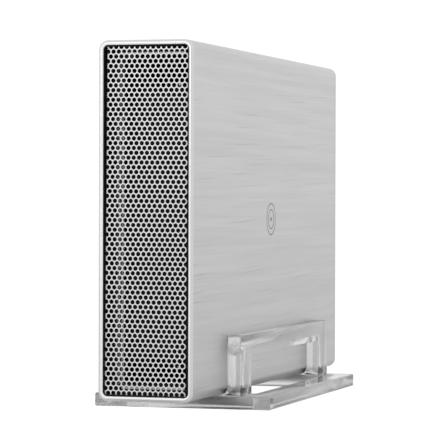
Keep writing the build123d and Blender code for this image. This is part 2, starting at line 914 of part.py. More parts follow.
def drive_cover():
    """The pressed cover, raised over the platters."""
    x0 = drive_x1 - drive_cover_thickness
    cover = block((x0, drive_x1), (drive_front, drive_rear), (drive_z0, drive_z1))
    cover = fillet(cover.edges().filter_by(Axis.X), 2.5)
    radius = platter_diameter / 2
    depth = (drive_x1 - cover_relief, drive_x1 + 1)
    groove = disc_x(platter_y, platter_z, radius, *depth)
    groove -= disc_x(platter_y, platter_z, radius - cover_groove, *depth)
    return cover - groove - disc_x(platter_y, platter_z, cover_dimple / 2, *depth)


def cover_screws():
    """Six low screws round the drive's cover."""
    screws = Part()
    inset = cover_screw_inset
    top = drive_x1 + cover_screw_height
    middle = platter_y + platter_diameter / 2 - inset
    half_slot = cover_screw_head / 4
    for y in (drive_front + inset, middle, drive_rear - inset):
        for z in (drive_z0 + inset, drive_z1 - inset):
            head = disc_x(y, z, cover_screw_head / 2, drive_x1, top)
            slot = block(
                (top - cover_screw_height / 2, top + 1),
                (y - half_slot, y + half_slot),
                (z - 0.3, z + 0.3),
            )
            screws += head - slot
    return screws


def platter_faces():
    """X of the near face of each platter."""
    first = drive_x0 + drive_board_thickness + drive_floor + 3.6
    return [first + i * platter_pitch for i in range(platter_count)]


def drive_platters():
    """Thin discs with spacer rings between them, gripped by the hub."""
    faces = platter_faces()
    stack = Part()
    for x in faces:
        stack += disc_x(platter_y, platter_z, platter_diameter / 2, x, x + platter_thickness)
    back = faces[-1] + platter_thickness
    stack += disc_x(platter_y, platter_z, hub_diameter / 2 + platter_ring, faces[0], back)
    return stack - disc_x(platter_y, platter_z, hub_diameter / 2, faces[0] - 1, back + 1)


def spindle_hub():
    """The hub that turns on the spindle, with a flange under the first platter and a clamp."""
    faces = platter_faces()
    floor_x = drive_x0 + drive_board_thickness + drive_floor
    back = faces[-1] + platter_thickness
    hub = disc_x(platter_y, platter_z, hub_diameter / 2, floor_x - hub_floor_gap + slide_gap, back)
    flange = hub_diameter / 2 + platter_ring
    hub += disc_x(platter_y, platter_z, flange, floor_x + 1, faces[0])
    hub += disc_x(platter_y, platter_z, flange, back, back + 1)
    return hub - disc_x(platter_y, platter_z, spindle_diameter / 2 + fit_gap, floor_x - 6, back + 2)


def turned(shape, angle):
    """Turn a shape drawn along +Y about the arm's pivot, from +Y towards +Z."""
    return Pos(0, pivot_y, pivot_z) * Rot(angle, 0, 0) * shape


def head_arm():
    """Thin arms between the platters on a pivot block."""
    faces = platter_faces()
    gaps = [x + platter_thickness + (platter_pitch - platter_thickness) / 2 for x in faces[:-1]]
    block_x = (faces[0] - 1.2, faces[-1] + platter_thickness + 0.6)
    arm = along_x(Circle(pivot_block / 2), *block_x)
    for x in gaps:
        across = (x - arm_thickness / 2, x + arm_thickness / 2)
        blade = outline(
            [(0, -arm_width), (arm_reach, -1.2), (arm_reach, 1.2), (0, arm_width)]
        )
        arm += along_x(blade, *across)
    coil_x = (gaps[0] - 1, gaps[0] + 1)
    arm += along_x(
        outline([(0, -3), (-coil_reach, -8), (-coil_reach, 8), (0, 3)])
        - outline([(-9, -2.5), (-coil_reach + 2.5, -5.2), (-coil_reach + 2.5, 5.2), (-9, 2.5)]),
        *coil_x,
    )
    arm -= along_x(Circle(pivot_diameter / 2 + fit_gap), block_x[0] - 1, block_x[1] + 1)
    return turned(arm, arm_parked)


def coil_magnets():
    """Two flat magnets, under and over the coil's sweep."""
    faces = platter_faces()
    coil = faces[0] + platter_thickness + (platter_pitch - platter_thickness) / 2
    floor_x = drive_x0 + drive_board_thickness + drive_floor
    x1 = drive_x1 - drive_cover_thickness
    magnets = Part()
    sector = outline([(-9, -11), (-coil_reach, -14), (-coil_reach, 10), (-9, 8)])
    for x in ((floor_x, coil - 1.6), (coil + 1.6, x1)):
        magnets += turned(along_x(sector, *x), arm_parked - 12)
    return magnets


def drive_circuit_board():
    """The board on the drive's other face."""
    return block(
        (drive_x0, drive_x0 + drive_board_thickness),
        (drive_front + 40, drive_rear - 1),
        (drive_z0 + 3, drive_z1 - 3),
    )


def drive_board_chips():
    """Chips on the drive's board."""
    chips = Part()
    across = (drive_x0 - drive_chip_height, drive_x0)
    for y, z, width, height in drive_chips:
        low_y, low_z = drive_front + y, drive_z0 + z
        chips += block(across, (low_y, low_y + width), (low_z, low_z + height))
    return chips


parts = {
    "stand_base_plate": stand_base_plate(),
    "stand_bracket_right": stand_bracket(),
    "stand_bracket_left": mirrored_x(stand_bracket()),
    "stand_pads": stand_pads(),
    "outer_sleeve": outer_sleeve(),
    "grille_carrier": grille_carrier(),
    "front_grille": front_grille(),
    "grille_flanges": grille_flanges(),
    "chassis_tray": chassis_tray(),
    "rear_panel": rear_panel(),
    "panel_screws": panel_screws(),
    "thumbscrew_lower": thumbscrew(thumb_heights[0]),
    "thumbscrew_upper": thumbscrew(thumb_heights[1]),
    "fan_frame": fan_frame(),
    "fan_rotor": fan_rotor(),
    "fan_screws": fan_screws(),
    "main_board": main_board(),
    "board_standoffs": board_standoffs(),
    "board_screws": board_screws(),
    "network_socket": network_socket(),
    "network_contacts": network_contacts(),
    "usb_socket": usb_socket(),
    "usb_tongue": usb_tongue(),
    "power_inlet": power_inlet(),
    "power_pin": power_pin_contact(),
    "switch_housing": switch_housing(),
    "power_rocker": power_rocker(),
    "reset_switch": reset_switch(),
    "reset_button": reset_button(),
    "processor": processor(),
    "heatsink": heatsink(),
    "memory_chips": memory_chips(),
    "support_chips": support_chips(),
    "capacitors": capacitors(),
    "drive_lead_connector": drive_lead_connector(),
    "light_board": light_board(),
    "light_board_pillars": light_board_pillars(),
    "status_lights": status_lights(),
    "flat_cable": flat_cable(),
    "drive_rails": drive_rails(),
    "drive_screws": drive_screws(),
    "drive_base": drive_base(),
    "drive_cover": drive_cover(),
    "cover_screws": cover_screws(),
    "drive_platters": drive_platters(),
    "spindle_hub": spindle_hub(),
    "head_arm": head_arm(),
    "coil_magnets": coil_magnets(),
    "drive_circuit_board": drive_circuit_board(),
    "drive_board_chips": drive_board_chips(),
}

for name, shape in parts.items():
    export_step(shape, f"parts/{name}.step")
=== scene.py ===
# %% [markdown]
# # A network storage box in a clear stand
#
# The real thing is a brushed aluminium sleeve, closed at the front by a folded sheet of
# perforated metal and at the back by a panel with sockets. It stands upright between two clear
# acrylic brackets on a clear base plate. Inside, a steel tray carries a hard drive, a circuit
# board and a fan. The solids come from the CAD frame, so every place and size below is read
# from that frame, and this script adds the finish and the fine shapes.

# %% Load the frame
import json
import math

import bmesh
import bpy
from mathutils import Matrix, Vector


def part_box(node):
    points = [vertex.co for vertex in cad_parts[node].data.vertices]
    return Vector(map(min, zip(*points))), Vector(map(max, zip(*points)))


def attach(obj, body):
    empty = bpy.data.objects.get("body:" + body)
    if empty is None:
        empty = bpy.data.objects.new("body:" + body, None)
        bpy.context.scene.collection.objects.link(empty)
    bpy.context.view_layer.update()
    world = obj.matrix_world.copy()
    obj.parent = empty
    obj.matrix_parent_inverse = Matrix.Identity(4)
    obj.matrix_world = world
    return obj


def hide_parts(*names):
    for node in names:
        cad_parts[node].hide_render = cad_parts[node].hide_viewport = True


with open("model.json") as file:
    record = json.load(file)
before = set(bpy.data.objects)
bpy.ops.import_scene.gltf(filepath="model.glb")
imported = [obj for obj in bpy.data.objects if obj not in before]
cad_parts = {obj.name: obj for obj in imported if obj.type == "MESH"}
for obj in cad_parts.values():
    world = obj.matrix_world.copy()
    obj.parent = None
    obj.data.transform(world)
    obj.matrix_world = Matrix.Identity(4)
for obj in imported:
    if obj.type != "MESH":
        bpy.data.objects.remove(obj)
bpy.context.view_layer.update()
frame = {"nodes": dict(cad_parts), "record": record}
NODES = frame["nodes"]
BODY_OF = {n: body for body, ns in frame["record"]["behaviour"]["bodies"].items() for n in ns}
MM = 0.001

# %% [markdown]
# ## The camera
#
# A long lens from far away keeps the upright edges nearly parallel, as catalogue pictures do.
# The camera stands a little to the right, at about half the box's height, so the front shows
# almost flat and the side is strongly foreshortened. Its place is given from the front lower
# middle of the sleeve.

# %% Camera
sleeve_low, sleeve_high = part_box("outer_sleeve")
CAMERA_RIGHT = 282.3 * MM
CAMERA_AWAY = 840.6 * MM
CAMERA_UP = 73.2 * MM
CAMERA_TURN = math.radians(16.736)
CAMERA_DIP = math.radians(0.595)
CAMERA_ROLL = math.radians(0.16)
CAMERA_LENS = 198.8

camera_data = bpy.data.cameras.new("camera")
camera_data.lens = CAMERA_LENS
camera_data.sensor_width = 36
camera_data.clip_start = 0.05
camera = bpy.data.objects.new("camera", camera_data)
bpy.context.scene.collection.objects.link(camera)
camera.location = (CAMERA_RIGHT, sleeve_low.y - CAMERA_AWAY, sleeve_low.z + CAMERA_UP)
turn = Matrix.Rotation(CAMERA_TURN, 4, "Z")
tilt = Matrix.Rotation(math.pi / 2 - CAMERA_DIP, 4, "X")
roll = Matrix.Rotation(CAMERA_ROLL, 4, "Z")
camera.rotation_euler = (turn @ tilt @ roll).to_euler()
bpy.context.scene.camera = camera
print("camera at", [round(v, 3) for v in camera.location])

# %% [markdown]
# ## Writing node trees as sums
#
# Node trees get hard to read when every node takes five lines. A small class wraps a socket
# and turns Python's arithmetic into Math nodes, so a pattern reads as the formula that it is.
# Any other node comes from one method, which sets its options first and its sockets second.
# The same class serves materials and Geometry Nodes.

# %% Socket arithmetic
class Value:
    """A node's output that can be added to, multiplied and compared."""

    def __init__(self, tree, socket):
        self.tree, self.socket = tree, socket

    def math(self, operation, *others):
        """A Math node with this value first."""
        return self.tree.math(operation, self, *others)

    def __add__(self, other):
        return self.math("ADD", other)

    def __sub__(self, other):
        return self.math("SUBTRACT", other)

    def __rsub__(self, other):
        return self.tree.math("SUBTRACT", other, self)

    def __mul__(self, other):
        return self.math("MULTIPLY", other)

    def __truediv__(self, other):
        return self.math("DIVIDE", other)

    def __gt__(self, other):
        return self.math("GREATER_THAN", other)

    def __abs__(self):
        return self.math("ABSOLUTE")

    __radd__ = __add__
    __rmul__ = __mul__


class Tree:
    """A node tree with one method that makes any node."""

    def __init__(self, tree):
        self.tree = tree

    def node(self, kind, settings=None, sockets=None, out=0):
        made = self.tree.nodes.new(kind)
        for name, setting in (settings or {}).items():
            setattr(made, name, setting)
        for key, value in (sockets or {}).items():
            if isinstance(value, Value):
                self.tree.links.new(value.socket, made.inputs[key])
            else:
                made.inputs[key].default_value = value
        return Value(self, made.outputs[out]) if made.outputs else None

    def math(self, operation, *terms):
        return self.node("ShaderNodeMath", {"operation": operation}, dict(enumerate(terms)))

    def parts(self, vector, axes):
        """The components of a vector."""
        split = self.node("ShaderNodeSeparateXYZ", None, {"Vector": vector}).socket.node
        return [Value(self, split.outputs[axis]) for axis in axes]

    def geometry_in(self):
        """The geometry that the tree starts from."""
        start = next(n for n in self.tree.nodes if n.bl_idname == "NodeGroupInput")
        return Value(self, start.outputs[0])


def grey(level, alpha=1.0):
    """A neutral colour."""
    return (level, level, level, alpha)


# %% [markdown]
# ## A finish is a principled shader with patterns
#
# Most finishes here share the same parts: a base colour that drifts a little, a roughness that
# drifts more, and a fine bump. One function builds them, and the patterns come from noise on
# the object's own coordinates, stretched where the real surface has a direction.

# %% Finish builder
DRIFT = (60, 60, 60)
ACRYLIC_WAVES = (90, 90, 90)
CLEAR_INDEX = 1.49


def blank_finish(name):
    """A material with an empty tree, its principled shader and its output."""
    material = bpy.data.materials.new(name)
    material.use_nodes = True
    material.node_tree.nodes.clear()
    tree = Tree(material.node_tree)
    shader = material.node_tree.nodes.new("ShaderNodeBsdfPrincipled")
    output = material.node_tree.nodes.new("ShaderNodeOutputMaterial")
    material.node_tree.links.new(shader.outputs[0], output.inputs["Surface"])
    return material, tree, shader


def place_on_object(tree, scale, turn=(0, 0, 0)):
    """Object coordinates in metres, scaled along each axis and turned."""
    spot = tree.node("ShaderNodeTexCoord", out="Object")
    return tree.node(
        "ShaderNodeMapping", {"vector_type": "TEXTURE"},
        {"Vector": spot, "Rotation": turn, "Scale": tuple(1 / s for s in scale)},
    )


def noise(tree, scale, detail=3.0, turn=(0, 0, 0), rough=0.55):
    """Noise from 0 to 1, with as many bumps per metre along each axis as scale says."""
    vector = place_on_object(tree, scale, turn)
    return tree.node(
        "ShaderNodeTexNoise", None,
        {"Vector": vector, "Scale": 1.0, "Detail": detail, "Roughness": rough},
    )


def mix_colours(tree, factor, low, high):
    return tree.node(
        "ShaderNodeMix", {"data_type": "RGBA"}, {"Factor": factor, 6: low, 7: high}, out=2
    )


def connect(tree, shader, links):
    """Link values to the shader's sockets by name."""
    for name, value in links.items():
        tree.tree.links.new(value.socket, shader.inputs[name])


def bump(tree, height, strength, distance):
    return tree.node(
        "ShaderNodeBump", None, {"Height": height, "Strength": strength, "Distance": distance}
    )


def finish(name, low, high, rough, grain, metallic=0.0, bumps=0.1, depth=0.05, **constants):
    """A moulded, painted or sheet finish. Rough is (least, most); grain is bumps per metre."""
    material, tree, shader = blank_finish(name)
    drift = noise(tree, DRIFT)
    fine = noise(tree, grain)
    shader.inputs["Metallic"].default_value = metallic
    for key, value in constants.items():
        shader.inputs[key.replace("_", " ")].default_value = value
    connect(tree, shader, {
        "Base Color": mix_colours(tree, drift * 0.6 + fine * 0.4, low, high),
        "Roughness": rough[0] + fine * (rough[1] - rough[0]),
        "Normal": bump(tree, fine, bumps, depth * MM),
    })
    return material


# %% [markdown]
# ## Brushed aluminium
#
# The sleeve is brushed along its length and then anodised. Brushing leaves very fine parallel
# lines with a few longer, deeper scratches at a slight angle. Both are noise that is squeezed
# across the brushing and stretched along it. The lines tilt the surface a little, which
# spreads reflections across the grain.

# %% Brushed aluminium finish
BRUSH_LINES = (3600, 26, 3600)
BRUSH_BANDS = (420, 9, 420)
BRUSH_SCRATCHES = (1500, 14, 1500)
SCRATCH_SLANT = math.radians(1.6)


def brushed_aluminium():
    material, tree, shader = blank_finish("brushed aluminium")
    lines = noise(tree, BRUSH_LINES, detail=2.0)
    bands = noise(tree, BRUSH_BANDS, detail=3.0)
    scratches = noise(tree, BRUSH_SCRATCHES, detail=1.0, turn=(SCRATCH_SLANT, 0, 0))
    deep = tree.node(
        "ShaderNodeMapRange", None,
        {"Value": scratches, "From Min": 0.66, "From Max": 0.76, "To Min": 0.0, "To Max": 1.0},
    )
    streak = lines * 0.45 + bands * 0.55
    shader.inputs["Metallic"].default_value = 1.0
    connect(tree, shader, {
        "Base Color": mix_colours(tree, streak - deep * 0.3, grey(0.52), grey(0.82)),
        "Roughness": 0.30 + lines * 0.14 + deep * 0.06,
        "Normal": bump(tree, lines * 0.7 + bands * 0.3 - deep * 0.5, 0.14, 0.02 * MM),
    })
    return material


# %% [markdown]
# ## Clear acrylic
#
# Acrylic sheet is clear, with an index of refraction of about 1.49. Its broad faces keep the
# gloss of the sheet, and its saw-cut edges are only sanded fine, so they scatter the light and
# look a soft grey. A very faint waviness keeps it from looking like optical glass.

# %% Acrylic finish
def clear_acrylic(name, least_rough, most_rough, low, high):
    material, tree, shader = blank_finish(name)
    shader.inputs["Transmission Weight"].default_value = 1.0
    shader.inputs["IOR"].default_value = CLEAR_INDEX
    wave = noise(tree, ACRYLIC_WAVES, detail=1.0)
    connect(tree, shader, {
        "Base Color": mix_colours(tree, wave, low, high),
        "Roughness": least_rough + wave * (most_rough - least_rough),
        "Normal": bump(tree, wave, 0.04, 0.05 * MM),
    })
    return material


# %% [markdown]
# ## The other finishes
#
# Each of the remaining materials is one call: a milled rim, rolled and zinc-plated steel,
# black plastic with a spark-eroded grain, satin aluminium on the rear panel, solder mask,
# epoxy chips, bright tin, gold, cast and pressed aluminium, and smoked resin.

# %% Library of finishes
FINE = (2200, 2200, 2200)
GRAIN = (5200, 5200, 5200)
ROLLED = (2600, 90, 2600)

FINISHES = {
    "acrylic": clear_acrylic("clear acrylic", 0.03, 0.08, grey(0.93), grey(0.98)),
    "cut_acrylic": clear_acrylic("cut acrylic", 0.08, 0.15, grey(0.86), grey(0.93)),
    "brushed_aluminium": brushed_aluminium(),
    # The rim's inner chamfer: near white and half matt, a painted highlight.
    "painted_highlight_rim": finish(
        "rim chamfer painted highlight", grey(0.95), grey(0.99), (0.40, 0.50), (900, 900, 900),
        metallic=0.25, bumps=0.03,
    ),
    "milled_rim": finish(
        "milled rim", grey(0.73), grey(0.81), (0.28, 0.38), (900, 900, 900),
        metallic=1.0, bumps=0.03,
    ),
    "black_plastic": finish(
        "black moulded plastic", grey(0.005), grey(0.011), (0.46, 0.64), GRAIN, bumps=0.25,
        Specular_IOR_Level=0.25,
    ),
    "grille_metal": finish(
        "silver painted grille", grey(0.56), grey(0.65), (0.34, 0.46), FINE,
        metallic=0.35, bumps=0.08,
    ),
    "zinc_steel": finish(
        "zinc plated steel", (0.50, 0.51, 0.53, 1), (0.66, 0.67, 0.69, 1), (0.30, 0.46),
        ROLLED, metallic=1.0, bumps=0.08,
    ),
    "panel_metal": finish(
        "satin aluminium", grey(0.62), grey(0.74), (0.32, 0.44), (260, 1900, 1900),
        metallic=1.0, bumps=0.1,
    ),
    "screw_steel": finish(
        "nickel plated steel", grey(0.55), grey(0.68), (0.22, 0.36), FINE,
        metallic=1.0, bumps=0.06,
    ),
    "board": finish(
        "green solder mask", (0.004, 0.055, 0.022, 1), (0.008, 0.10, 0.040, 1), (0.26, 0.40),
        (1100, 1100, 1100), bumps=0.2,
    ),
    "black_board": finish(
        "black solder mask", grey(0.004), grey(0.008), (0.40, 0.52), (1100, 1100, 1100),
        bumps=0.2, Specular_IOR_Level=0.2,
    ),
    "coated_casting": finish(
        "black coated casting", grey(0.004), grey(0.009), (0.55, 0.72), (1500, 1500, 1500),
        bumps=0.35, depth=0.1, Specular_IOR_Level=0.15,
    ),
    "chip": finish(
        "moulded epoxy", grey(0.010), grey(0.020), (0.45, 0.62), GRAIN, bumps=0.2,
    ),
    "socket_shell": finish(
        "bright tinned steel", grey(0.66), grey(0.78), (0.16, 0.30), FINE,
        metallic=1.0, bumps=0.05,
    ),
    "contacts": finish(
        "gold flash", (0.78, 0.55, 0.22, 1), (0.88, 0.66, 0.30, 1), (0.18, 0.30), FINE,
        metallic=1.0, bumps=0.05,
    ),
    "cast_aluminium": finish(
        "cast aluminium", grey(0.34), grey(0.50), (0.46, 0.68), (1500, 1500, 1500),
        metallic=1.0, bumps=0.35, depth=0.1,
    ),
    "cover_metal": finish(
        "pressed aluminium", grey(0.52), grey(0.64), (0.28, 0.44), (1900, 260, 1900),
        metallic=1.0, bumps=0.08,
    ),
    "disc": finish(
        "polished disc", grey(0.78), grey(0.84), (0.03, 0.06), FINE, metallic=1.0, bumps=0.01,
    ),
    "lamp_resin": finish(
        "smoked resin", (0.07, 0.075, 0.075, 1), (0.12, 0.125, 0.125, 1), (0.14, 0.24), FINE,
        bumps=0.05, Coat_Weight=0.5,
    ),
    "cable": finish(
        "white cable film", (0.70, 0.70, 0.66, 1), (0.80, 0.80, 0.77, 1), (0.30, 0.42),
        (700, 60, 700), bumps=0.1,
    ),
    "heatsink_metal": finish(
        "black anodised aluminium", grey(0.012), grey(0.030), (0.34, 0.48), FINE,
        metallic=0.6, bumps=0.1,
    ),
    "pad_rubber": finish(
        "clear silicone", grey(0.80), grey(0.88), (0.24, 0.36), FINE, bumps=0.05,
        Transmission_Weight=0.8,
    ),
    "print_ink": finish(
        "grey print", grey(0.14), grey(0.20), (0.40, 0.55), FINE, bumps=0.05,
    ),
}
SLOT_OF = {s["node"]: s["material_slot"] for s in frame["record"]["subparts"]}
print("finishes:", len(FINISHES))

# %% [markdown]
# ## Helpers for pieces
#
# A finished piece is a mesh object at the origin, with its place in its vertices, as the CAD
# nodes are. Two helpers cover most pieces: one turns points and faces into such an object, and
# one takes a CAD node's triangles, merges them and rounds their sharp edges, because no real
# edge is perfectly sharp and a small round catches the light.

# %% Piece helpers
def new_piece(name, mesh, finish, body, *nodes):
    """Put a mesh on a body as a piece, with its finish, in place of CAD nodes."""
    piece = bpy.data.objects.new(name, mesh)
    bpy.context.scene.collection.objects.link(piece)
    if not mesh.materials:
        mesh.materials.append(FINISHES[finish])
    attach(piece, body)
    if nodes:
        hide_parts(*nodes)
    finish in SLOT_OF.values()
    return piece


def mesh_from(bm, name):
    """Make a bmesh into a mesh."""
    mesh = bpy.data.meshes.new(name)
    bm.to_mesh(mesh)
    bm.free()
    return mesh


def soften(bm, width, sharp=35.0, segments=2):
    """Round every edge that is sharper than the given angle, and shade the rest smooth."""
    limit = math.radians(sharp)
    edges = [e for e in bm.edges if e.is_manifold and e.calc_face_angle(0) > limit]
    if width > 0:
        bmesh.ops.bevel(
            bm, geom=edges, offset=width, segments=segments, profile=0.5,
            affect="EDGES", clamp_overlap=True,
        )
    for face in bm.faces:
        face.smooth = True
    for edge in bm.edges:
        edge.smooth = not (edge.is_manifold and edge.calc_face_angle(0) > limit)


# %% [markdown]
# ## The sleeve
#
# The sleeve is an extruded tube, and its solid already has the right walls, runners and cut
# rim. What it lacks is a difference in finish: the rim is milled and the rest is brushed, while
# the chamfer on its inside gets a near-white, half-matt finish that is a painted highlight, so
# it shows bright from any side. A copy of the solid's triangles is merged, and each face takes
# its finish from where it lies and where it points.

# %% Sleeve
SLEEVE_MIDDLE = (sleeve_low + sleeve_high) / 2
RIM_DEPTH = 0.9 * MM
RIM_FACES_FRONT = -0.3
FLAT_FACES_FRONT = -0.9
SLEEVE_SHARP = 25
MERGE_WITHIN = 0.001 * MM


def merged_copy(node):
    """A bmesh of a CAD node with its loose triangles joined."""
    bm = bmesh.new()
    bm.from_mesh(NODES[node].data)
    bmesh.ops.remove_doubles(bm, verts=bm.verts, dist=MERGE_WITHIN)
    return bm


def points_inward(face):
    """True where a face of the rim points towards the middle of the opening."""
    centre = face.calc_center_median() - SLEEVE_MIDDLE
    aside = abs(centre.x) / (sleeve_high.x - SLEEVE_MIDDLE.x) - 1
    above = abs(centre.z) / (sleeve_high.z - SLEEVE_MIDDLE.z) - 1
    flat = Vector((centre.x, 0, 0)) if aside > above else Vector((0, 0, centre.z))
    return face.normal.dot(flat) < 0


def build_sleeve():
    bm = merged_copy("outer_sleeve")
    bm.normal_update()
    for face in bm.faces:
        in_front = face.calc_center_median().y < sleeve_low.y + RIM_DEPTH
        if in_front and face.normal.y < RIM_FACES_FRONT:
            # The inner chamfer's faces take the near-white finish, a painted highlight.
            inside = face.normal.y > FLAT_FACES_FRONT and points_inward(face)
            face.material_index = 1 if inside else 2
    soften(bm, 0, sharp=SLEEVE_SHARP)
    mesh = mesh_from(bm, "sleeve")
    for name in ("brushed_aluminium", "painted_highlight_rim", "milled_rim"):
        mesh.materials.append(FINISHES[name])
    return new_piece("sleeve", mesh, "brushed_aluminium", "enclosure", "outer_sleeve")


sleeve = build_sleeve()
print("sleeve faces:", len(sleeve.data.polygons))

# %% [markdown]
# ## One cell of the perforated sheet
#
# Perforated sheet is punched flat and then folded into a shallow tray, so the holes run round
# the folds. It repeats one hexagonal cell with a round hole. The cell is a ring of twelve
# points on the hexagon, joined to a bevelled hole and to a second ring behind.

# %% Punched cell
GRILLE_LOW, GRILLE_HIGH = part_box("front_grille")
PITCH = 2.0 * MM
ROW_PITCH = PITCH * math.sqrt(3) / 2
HOLE = 0.83 * MM
SHEET = 0.30 * MM
HOLE_BEVEL = 0.02 * MM
SEGMENTS = 12


def cell_mesh():
    """A hexagonal tile with a bevelled round hole, facing -Y."""
    bm = bmesh.new()
    hexagon, rim = [], []
    for i in range(SEGMENTS):
        angle = math.radians(360 * i / SEGMENTS)
        reach = PITCH / 2 if i % 2 == 0 else PITCH / math.sqrt(3)
        hexagon.append((reach * math.cos(angle), reach * math.sin(angle)))
        rim.append((math.cos(angle), math.sin(angle)))
    wide = HOLE + HOLE_BEVEL
    rings = [
        [Vector((x, SHEET, z)) for x, z in hexagon],
        [Vector((x * HOLE, SHEET, z * HOLE)) for x, z in rim],
        [Vector((x * HOLE, HOLE_BEVEL, z * HOLE)) for x, z in rim],
        [Vector((x * wide, 0, z * wide)) for x, z in rim],
        [Vector((x, 0, z)) for x, z in hexagon],
    ]
    loops = [[bm.verts.new(p) for p in ring] for ring in rings]
    for near, far in zip(loops, loops[1:]):
        for i in range(SEGMENTS):
            j = (i + 1) % SEGMENTS
            bm.faces.new((near[i], near[j], far[j], far[i]))
    bm.normal_update()
    bm.faces.ensure_lookup_table()
    if bm.faces[-1].normal.y > 0:
        bmesh.ops.reverse_faces(bm, faces=bm.faces)
    return mesh_from(bm, "punched cell")


grille = bpy.data.objects.new("grille", cell_mesh())
bpy.context.scene.collection.objects.link(grille)
print("cell faces:", len(grille.data.polygons))

# %% [markdown]
# ## The sheet in Geometry Nodes
#
# What repeats suits Geometry Nodes: a grid of points, every second row shifted by half a
# pitch, and a cell on each point. Then one formula folds every vertex. A point at distance u
# from the middle stays flat up to the bend, goes a quarter circle round it, and then runs
# straight back. The real sheet sits slightly askew in its frame and its pattern isn't quite
# centred on it, so both are inputs. Silver paint reaches the front and the bend, and the sides
# behind it are coloured black as painted shade.

# %% Geometry Nodes helpers
class Folding:
    """Named inputs of a node group, each with its value."""

    def __init__(self, name):
        self.group = bpy.data.node_groups.new(name, "GeometryNodeTree")
        for way in ("INPUT", "OUTPUT"):
            self.group.interface.new_socket(
                "Geometry", in_out=way, socket_type="NodeSocketGeometry"
            )
        self.tree = Tree(self.group)
        self.values = {}

    def declare(self, inputs):
        kinds = {int: "NodeSocketInt", float: "NodeSocketFloat"}
        for name, value in inputs.items():
            socket = self.group.interface.new_socket(
                name, in_out="INPUT", socket_type=kinds[type(value)]
            )
            self.values[socket.identifier] = value
        made = self.group.nodes.new("NodeGroupInput")
        self.inputs = {s.name: Value(self.tree, s) for s in made.outputs if s.name}
        return self.inputs

    def coat(self, geometry, material, where=True):
        """Give the faces that are picked a finish."""
        return self.tree.node(
            "GeometryNodeSetMaterial", None,
            {"Geometry": geometry, "Material": material, "Selection": where},
        )

    def finish(self, geometry):
        out = self.group.nodes.new("NodeGroupOutput")
        self.group.links.new(geometry.socket, out.inputs[0])

    def apply(self, obj):
        """Run the tree on an object, keep the result as a plain mesh, drop the modifier."""
        modifier = obj.modifiers.new("nodes", "NODES")
        modifier.node_group = self.group
        for identifier, value in self.values.items():
            modifier[identifier] = value
        bpy.context.view_layer.update()
        graph = bpy.context.evaluated_depsgraph_get()
        mesh = bpy.data.meshes.new_from_object(obj.evaluated_get(graph))
        obj.modifiers.remove(modifier)
        obj.data = mesh
        return mesh


# %% [markdown]
# The tree itself reads in the order of the work: lay out the rows, drop the cells that would
# fall on two bends at once, join the cells, fold them, seat the sheet, paint it silver and
# colour its folded sides black as painted shade.

# %% Grille sheet
QUARTER_TURN = math.pi / 2


def folded(reach, depth, inputs, half):
    """Fold one axis: returns the new distance from the middle and how far back it goes."""
    radius = inputs["Bend radius"]
    neutral = radius - inputs["Sheet"] / 2
    flat = inputs[half] - radius
    past = (abs(reach) - flat).math("MAXIMUM", 0.0)
    angle = (past / neutral).math("MINIMUM", QUARTER_TURN)
    straight = (past - neutral * QUARTER_TURN).math("MAXIMUM", 0.0)
    arm = radius - depth
    sideways = abs(reach).math("MINIMUM", flat) + arm * angle.math("SINE")
    back = radius - arm * angle.math("COSINE") + straight
    return sideways * reach.math("SIGN"), back


